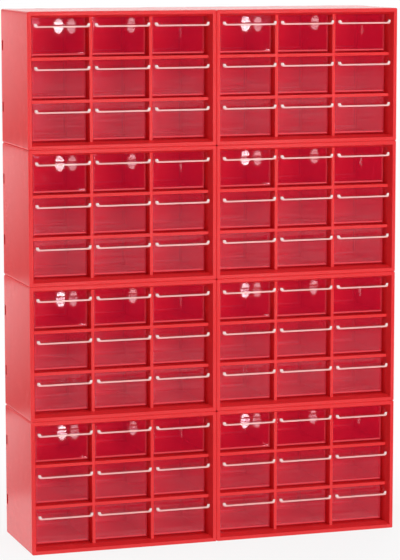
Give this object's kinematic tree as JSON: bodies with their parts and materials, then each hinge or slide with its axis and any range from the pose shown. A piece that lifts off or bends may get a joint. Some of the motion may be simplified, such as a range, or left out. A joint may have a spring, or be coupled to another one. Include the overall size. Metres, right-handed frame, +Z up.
{
  "type": "small parts drawer cabinet",
  "caption": "Stack of moulded red casings, joined by rear clips, with rows of clear drawers that pull out by a lip.",
  "frame": {"origin": "bottom centre of the stack: under the seam between the two columns, midway between front rim and rear edge", "axes": "+X to the right as seen from the front, +Y from the front rim to the back, +Z up"},
  "size_m": [0.612, 0.166, 0.852],
  "materials": {
    "casing": "satin moulded",
    "drawer": "clear polished",
    "clip": "moulded"
  },
  "bodies": {
    "stack": {"casing_left_1": "casing", "casing_left_2": "casing", "casing_left_3": "casing", "casing_left_4": "casing", "casing_right_1": "casing", "casing_right_2": "casing", "casing_right_3": "casing", "casing_right_4": "casing", "side_clips": "clip", "stack_clips": "clip"},
    "drawer_left_1_bottom_a": {"drawer_left_1_bottom_a": "drawer"},
    "drawer_left_1_bottom_b": {"drawer_left_1_bottom_b": "drawer"},
    "drawer_left_1_bottom_c": {"drawer_left_1_bottom_c": "drawer"},
    "drawer_left_1_middle_a": {"drawer_left_1_middle_a": "drawer"},
    "drawer_left_1_middle_b": {"drawer_left_1_middle_b": "drawer"},
    "drawer_left_1_middle_c": {"drawer_left_1_middle_c": "drawer"},
    "drawer_left_1_top_a": {"drawer_left_1_top_a": "drawer"},
    "drawer_left_1_top_b": {"drawer_left_1_top_b": "drawer"},
    "drawer_left_1_top_c": {"drawer_left_1_top_c": "drawer"},
    "drawer_left_2_bottom_a": {"drawer_left_2_bottom_a": "drawer"},
    "drawer_left_2_bottom_b": {"drawer_left_2_bottom_b": "drawer"},
    "drawer_left_2_bottom_c": {"drawer_left_2_bottom_c": "drawer"},
    "drawer_left_2_middle_a": {"drawer_left_2_middle_a": "drawer"},
    "drawer_left_2_middle_b": {"drawer_left_2_middle_b": "drawer"},
    "drawer_left_2_middle_c": {"drawer_left_2_middle_c": "drawer"},
    "drawer_left_2_top_a": {"drawer_left_2_top_a": "drawer"},
    "drawer_left_2_top_b": {"drawer_left_2_top_b": "drawer"},
    "drawer_left_2_top_c": {"drawer_left_2_top_c": "drawer"},
    "drawer_left_3_bottom_a": {"drawer_left_3_bottom_a": "drawer"},
    "drawer_left_3_bottom_b": {"drawer_left_3_bottom_b": "drawer"},
    "drawer_left_3_bottom_c": {"drawer_left_3_bottom_c": "drawer"},
    "drawer_left_3_middle_a": {"drawer_left_3_middle_a": "drawer"},
    "drawer_left_3_middle_b": {"drawer_left_3_middle_b": "drawer"},
    "drawer_left_3_middle_c": {"drawer_left_3_middle_c": "drawer"},
    "drawer_left_3_top_a": {"drawer_left_3_top_a": "drawer"},
    "drawer_left_3_top_b": {"drawer_left_3_top_b": "drawer"},
    "drawer_left_3_top_c": {"drawer_left_3_top_c": "drawer"},
    "drawer_left_4_bottom_a": {"drawer_left_4_bottom_a": "drawer"},
    "drawer_left_4_bottom_b": {"drawer_left_4_bottom_b": "drawer"},
    "drawer_left_4_bottom_c": {"drawer_left_4_bottom_c": "drawer"},
    "drawer_left_4_middle_a": {"drawer_left_4_middle_a": "drawer"},
    "drawer_left_4_middle_b": {"drawer_left_4_middle_b": "drawer"},
    "drawer_left_4_middle_c": {"drawer_left_4_middle_c": "drawer"},
    "drawer_left_4_top_a": {"drawer_left_4_top_a": "drawer"},
    "drawer_left_4_top_b": {"drawer_left_4_top_b": "drawer"},
    "drawer_left_4_top_c": {"drawer_left_4_top_c": "drawer"},
    "drawers_right_1_bottom": {"drawers_right_1_bottom": "drawer"},
    "drawers_right_1_middle": {"drawers_right_1_middle": "drawer"},
    "drawers_right_1_top": {"drawers_right_1_top": "drawer"},
    "drawers_right_2_bottom": {"drawers_right_2_bottom": "drawer"},
    "drawers_right_2_middle": {"drawers_right_2_middle": "drawer"},
    "drawers_right_2_top": {"drawers_right_2_top": "drawer"},
    "drawers_right_3_bottom": {"drawers_right_3_bottom": "drawer"},
    "drawers_right_3_middle": {"drawers_right_3_middle": "drawer"},
    "drawers_right_3_top": {"drawers_right_3_top": "drawer"},
    "drawers_right_4_bottom": {"drawers_right_4_bottom": "drawer"},
    "drawers_right_4_middle": {"drawers_right_4_middle": "drawer"},
    "drawers_right_4_top": {"drawers_right_4_top": "drawer"}
  },
  "joints": [
    {"name": "pull_left_1_bottom_a", "type": "slide", "parent": "stack", "child": "drawer_left_1_bottom_a", "axis": [0, -1, 0], "range_m": [0, 0.11]},
    {"name": "pull_left_1_bottom_b", "type": "slide", "parent": "stack", "child": "drawer_left_1_bottom_b", "axis": [0, -1, 0], "range_m": [0, 0.11]},
    {"name": "pull_left_1_bottom_c", "type": "slide", "parent": "stack", "child": "drawer_left_1_bottom_c", "axis": [0, -1, 0], "range_m": [0, 0.11]},
    {"name": "pull_left_1_middle_a", "type": "slide", "parent": "stack", "child": "drawer_left_1_middle_a", "axis": [0, -1, 0], "range_m": [0, 0.11]},
    {"name": "pull_left_1_middle_b", "type": "slide", "parent": "stack", "child": "drawer_left_1_middle_b", "axis": [0, -1, 0], "range_m": [0, 0.11]},
    {"name": "pull_left_1_middle_c", "type": "slide", "parent": "stack", "child": "drawer_left_1_middle_c", "axis": [0, -1, 0], "range_m": [0, 0.11]},
    {"name": "pull_left_1_top_a", "type": "slide", "parent": "stack", "child": "drawer_left_1_top_a", "axis": [0, -1, 0], "range_m": [0, 0.11]},
    {"name": "pull_left_1_top_b", "type": "slide", "parent": "stack", "child": "drawer_left_1_top_b", "axis": [0, -1, 0], "range_m": [0, 0.11]},
    {"name": "pull_left_1_top_c", "type": "slide", "parent": "stack", "child": "drawer_left_1_top_c", "axis": [0, -1, 0], "range_m": [0, 0.11]},
    {"name": "pull_left_2_bottom_a", "type": "slide", "parent": "stack", "child": "drawer_left_2_bottom_a", "axis": [0, -1, 0], "range_m": [0, 0.11]},
    {"name": "pull_left_2_bottom_b", "type": "slide", "parent": "stack", "child": "drawer_left_2_bottom_b", "axis": [0, -1, 0], "range_m": [0, 0.11]},
    {"name": "pull_left_2_bottom_c", "type": "slide", "parent": "stack", "child": "drawer_left_2_bottom_c", "axis": [0, -1, 0], "range_m": [0, 0.11]},
    {"name": "pull_left_2_middle_a", "type": "slide", "parent": "stack", "child": "drawer_left_2_middle_a", "axis": [0, -1, 0], "range_m": [0, 0.11]},
    {"name": "pull_left_2_middle_b", "type": "slide", "parent": "stack", "child": "drawer_left_2_middle_b", "axis": [0, -1, 0], "range_m": [0, 0.11]},
    {"name": "pull_left_2_middle_c", "type": "slide", "parent": "stack", "child": "drawer_left_2_middle_c", "axis": [0, -1, 0], "range_m": [0, 0.11]},
    {"name": "pull_left_2_top_a", "type": "slide", "parent": "stack", "child": "drawer_left_2_top_a", "axis": [0, -1, 0], "range_m": [0, 0.11]},
    {"name": "pull_left_2_top_b", "type": "slide", "parent": "stack", "child": "drawer_left_2_top_b", "axis": [0, -1, 0], "range_m": [0, 0.11]},
    {"name": "pull_left_2_top_c", "type": "slide", "parent": "stack", "child": "drawer_left_2_top_c", "axis": [0, -1, 0], "range_m": [0, 0.11]},
    {"name": "pull_left_3_bottom_a", "type": "slide", "parent": "stack", "child": "drawer_left_3_bottom_a", "axis": [0, -1, 0], "range_m": [0, 0.11]},
    {"name": "pull_left_3_bottom_b", "type": "slide", "parent": "stack", "child": "drawer_left_3_bottom_b", "axis": [0, -1, 0], "range_m": [0, 0.11]},
    {"name": "pull_left_3_bottom_c", "type": "slide", "parent": "stack", "child": "drawer_left_3_bottom_c", "axis": [0, -1, 0], "range_m": [0, 0.11]},
    {"name": "pull_left_3_middle_a", "type": "slide", "parent": "stack", "child": "drawer_left_3_middle_a", "axis": [0, -1, 0], "range_m": [0, 0.11]},
    {"name": "pull_left_3_middle_b", "type": "slide", "parent": "stack", "child": "drawer_left_3_middle_b", "axis": [0, -1, 0], "range_m": [0, 0.11]},
    {"name": "pull_left_3_middle_c", "type": "slide", "parent": "stack", "child": "drawer_left_3_middle_c", "axis": [0, -1, 0], "range_m": [0, 0.11]},
    {"name": "pull_left_3_top_a", "type": "slide", "parent": "stack", "child": "drawer_left_3_top_a", "axis": [0, -1, 0], "range_m": [0, 0.11]},
    {"name": "pull_left_3_top_b", "type": "slide", "parent": "stack", "child": "drawer_left_3_top_b", "axis": [0, -1, 0], "range_m": [0, 0.11]},
    {"name": "pull_left_3_top_c", "type": "slide", "parent": "stack", "child": "drawer_left_3_top_c", "axis": [0, -1, 0], "range_m": [0, 0.11]},
    {"name": "pull_left_4_bottom_a", "type": "slide", "parent": "stack", "child": "drawer_left_4_bottom_a", "axis": [0, -1, 0], "range_m": [0, 0.11]},
    {"name": "pull_left_4_bottom_b", "type": "slide", "parent": "stack", "child": "drawer_left_4_bottom_b", "axis": [0, -1, 0], "range_m": [0, 0.11]},
    {"name": "pull_left_4_bottom_c", "type": "slide", "parent": "stack", "child": "drawer_left_4_bottom_c", "axis": [0, -1, 0], "range_m": [0, 0.11]},
    {"name": "pull_left_4_middle_a", "type": "slide", "parent": "stack", "child": "drawer_left_4_middle_a", "axis": [0, -1, 0], "range_m": [0, 0.11]},
    {"name": "pull_left_4_middle_b", "type": "slide", "parent": "stack", "child": "drawer_left_4_middle_b", "axis": [0, -1, 0], "range_m": [0, 0.11]},
    {"name": "pull_left_4_middle_c", "type": "slide", "parent": "stack", "child": "drawer_left_4_middle_c", "axis": [0, -1, 0], "range_m": [0, 0.11]},
    {"name": "pull_left_4_top_a", "type": "slide", "parent": "stack", "child": "drawer_left_4_top_a", "axis": [0, -1, 0], "range_m": [0, 0.11]},
    {"name": "pull_left_4_top_b", "type": "slide", "parent": "stack", "child": "drawer_left_4_top_b", "axis": [0, -1, 0], "range_m": [0, 0.11]},
    {"name": "pull_left_4_top_c", "type": "slide", "parent": "stack", "child": "drawer_left_4_top_c", "axis": [0, -1, 0], "range_m": [0, 0.11]},
    {"name": "pull_right_1_bottom", "type": "slide", "parent": "stack", "child": "drawers_right_1_bottom", "axis": [0, -1, 0], "range_m": [0, 0.11]},
    {"name": "pull_right_1_middle", "type": "slide", "parent": "stack", "child": "drawers_right_1_middle", "axis": [0, -1, 0], "range_m": [0, 0.11]},
    {"name": "pull_right_1_top", "type": "slide", "parent": "stack", "child": "drawers_right_1_top", "axis": [0, -1, 0], "range_m": [0, 0.11]},
    {"name": "pull_right_2_bottom", "type": "slide", "parent": "stack", "child": "drawers_right_2_bottom", "axis": [0, -1, 0], "range_m": [0, 0.11]},
    {"name": "pull_right_2_middle", "type": "slide", "parent": "stack", "child": "drawers_right_2_middle", "axis": [0, -1, 0], "range_m": [0, 0.11]},
    {"name": "pull_right_2_top", "type": "slide", "parent": "stack", "child": "drawers_right_2_top", "axis": [0, -1, 0], "range_m": [0, 0.11]},
    {"name": "pull_right_3_bottom", "type": "slide", "parent": "stack", "child": "drawers_right_3_bottom", "axis": [0, -1, 0], "range_m": [0, 0.11]},
    {"name": "pull_right_3_middle", "type": "slide", "parent": "stack", "child": "drawers_right_3_middle", "axis": [0, -1, 0], "range_m": [0, 0.11]},
    {"name": "pull_right_3_top", "type": "slide", "parent": "stack", "child": "drawers_right_3_top", "axis": [0, -1, 0], "range_m": [0, 0.11]},
    {"name": "pull_right_4_bottom", "type": "slide", "parent": "stack", "child": "drawers_right_4_bottom", "axis": [0, -1, 0], "range_m": [0, 0.11]},
    {"name": "pull_right_4_middle", "type": "slide", "parent": "stack", "child": "drawers_right_4_middle", "axis": [0, -1, 0], "range_m": [0, 0.11]},
    {"name": "pull_right_4_top", "type": "slide", "parent": "stack", "child": "drawers_right_4_top", "axis": [0, -1, 0], "range_m": [0, 0.11]}
  ]
}
